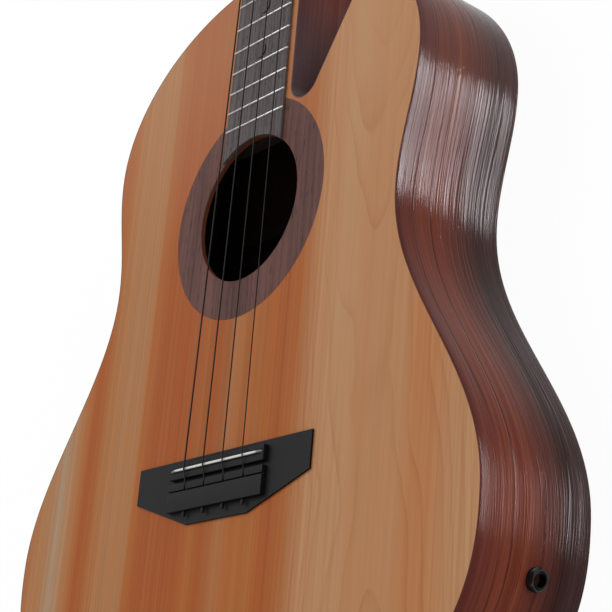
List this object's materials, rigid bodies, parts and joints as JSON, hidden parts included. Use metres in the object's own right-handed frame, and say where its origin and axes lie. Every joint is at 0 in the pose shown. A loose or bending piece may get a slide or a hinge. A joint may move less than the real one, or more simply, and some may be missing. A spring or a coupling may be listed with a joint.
{
  "type": "acoustic bass guitar",
  "caption": "Acoustic-electric bass guitar with a cutaway body, fretted neck, angled head, tied-through bridge and worm-gear tuners with turning keys and posts.",
  "frame": {"origin": "on the back plate's outer face, straight below the centre of the sound hole", "axes": "+Z out of the soundboard, +Y along the neck towards the head, +X towards the treble side with the cutaway and the output jack"},
  "size_m": [0.417, 1.2308, 0.086],
  "materials": {
    "top_wood": "satin",
    "rosette_wood": "satin",
    "body_wood": "satin",
    "inner_wood": "raw",
    "brace_wood": "raw",
    "bridge_black": "matte",
    "white_bone": "polished",
    "pickup_brass": "plain",
    "lead_jacket": "matte",
    "neck_wood": "satin",
    "rod_steel": "plain",
    "jack_black": "semi-gloss",
    "board_wood": "oiled",
    "string_wire": "wound",
    "tuner_plate": "plain",
    "tuner_chrome": "polished",
    "gear_brass": "plain"
  },
  "bodies": {
    "guitar": {"soundboard": "top_wood", "rosette": "rosette_wood", "back_plate": "body_wood", "bass_side_rib": "body_wood", "treble_side_rib": "body_wood", "cutaway_rib": "body_wood", "neck_block": "inner_wood", "tail_block": "inner_wood", "bass_top_lining": "brace_wood", "treble_top_lining": "brace_wood", "bass_back_lining": "brace_wood", "treble_back_lining": "brace_wood", "x_brace_over": "brace_wood", "x_brace_under": "brace_wood", "transverse_brace": "brace_wood", "back_brace_upper": "brace_wood", "back_brace_middle": "brace_wood", "back_brace_lower": "brace_wood", "bridge_plate": "brace_wood", "bridge": "bridge_black", "saddle": "white_bone", "pickup_strip": "pickup_brass", "pickup_lead": "lead_jacket", "neck": "neck_wood", "truss_rod": "rod_steel", "truss_rod_cover": "jack_black", "fretboard": "board_wood", "nut": "white_bone", "jack_barrel": "jack_black", "jack_washer": "jack_black", "jack_nut": "jack_black", "strap_button": "tuner_chrome", "string_e": "string_wire", "tuner_e_plate": "tuner_plate", "tuner_e_bushing": "tuner_chrome", "string_a": "string_wire", "tuner_a_plate": "tuner_plate", "tuner_a_bushing": "tuner_chrome", "string_d": "string_wire", "tuner_d_plate": "tuner_plate", "tuner_d_bushing": "tuner_chrome", "string_g": "string_wire", "tuner_g_plate": "tuner_plate", "tuner_g_bushing": "tuner_chrome"},
    "tuner_e_key_body": {"tuner_e_key": "tuner_chrome"},
    "tuner_e_post_body": {"tuner_e_post": "tuner_chrome", "tuner_e_gear": "gear_brass", "string_e_winding": "string_wire"},
    "tuner_a_key_body": {"tuner_a_key": "tuner_chrome"},
    "tuner_a_post_body": {"tuner_a_post": "tuner_chrome", "tuner_a_gear": "gear_brass", "string_a_winding": "string_wire"},
    "tuner_d_key_body": {"tuner_d_key": "tuner_chrome"},
    "tuner_d_post_body": {"tuner_d_post": "tuner_chrome", "tuner_d_gear": "gear_brass", "string_d_winding": "string_wire"},
    "tuner_g_key_body": {"tuner_g_key": "tuner_chrome"},
    "tuner_g_post_body": {"tuner_g_post": "tuner_chrome", "tuner_g_gear": "gear_brass", "string_g_winding": "string_wire"}
  },
  "joints": [
    {"name": "e_key_turn", "type": "hinge", "parent": "guitar", "child": "tuner_e_key_body", "pos_m": [-0.022, 0.74786, 0.04518], "axis": [-1, 0, 0], "continuous": true},
    {"name": "e_post_turn", "type": "hinge", "parent": "guitar", "child": "tuner_e_post_body", "pos_m": [-0.022, 0.76181, 0.06557], "axis": [0, 0.1736, 0.9848], "continuous": true, "deforming": ["string_e"]},
    {"name": "a_key_turn", "type": "hinge", "parent": "guitar", "child": "tuner_a_key_body", "pos_m": [-0.022, 0.81285, 0.03372], "axis": [-1, 0, 0], "continuous": true},
    {"name": "a_post_turn", "type": "hinge", "parent": "guitar", "child": "tuner_a_post_body", "pos_m": [-0.022, 0.82681, 0.05411], "axis": [0, 0.1736, 0.9848], "continuous": true, "deforming": ["string_a"]},
    {"name": "d_key_turn", "type": "hinge", "parent": "guitar", "child": "tuner_d_key_body", "pos_m": [0.022, 0.81285, 0.03372], "axis": [1, 0, 0], "continuous": true},
    {"name": "d_post_turn", "type": "hinge", "parent": "guitar", "child": "tuner_d_post_body", "pos_m": [0.022, 0.82681, 0.05411], "axis": [0, 0.1736, 0.9848], "continuous": true, "deforming": ["string_d"]},
    {"name": "g_key_turn", "type": "hinge", "parent": "guitar", "child": "tuner_g_key_body", "pos_m": [0.022, 0.74786, 0.04518], "axis": [1, 0, 0], "continuous": true},
    {"name": "g_post_turn", "type": "hinge", "parent": "guitar", "child": "tuner_g_post_body", "pos_m": [0.022, 0.76181, 0.06557], "axis": [0, 0.1736, 0.9848], "continuous": true, "deforming": ["string_g"]}
  ],
  "couplings": [
    {"joint": "e_post_turn", "follows": "e_key_turn", "ratio": -0.05},
    {"joint": "a_post_turn", "follows": "a_key_turn", "ratio": -0.05},
    {"joint": "d_post_turn", "follows": "d_key_turn", "ratio": -0.05},
    {"joint": "g_post_turn", "follows": "g_key_turn", "ratio": -0.05}
  ]
}
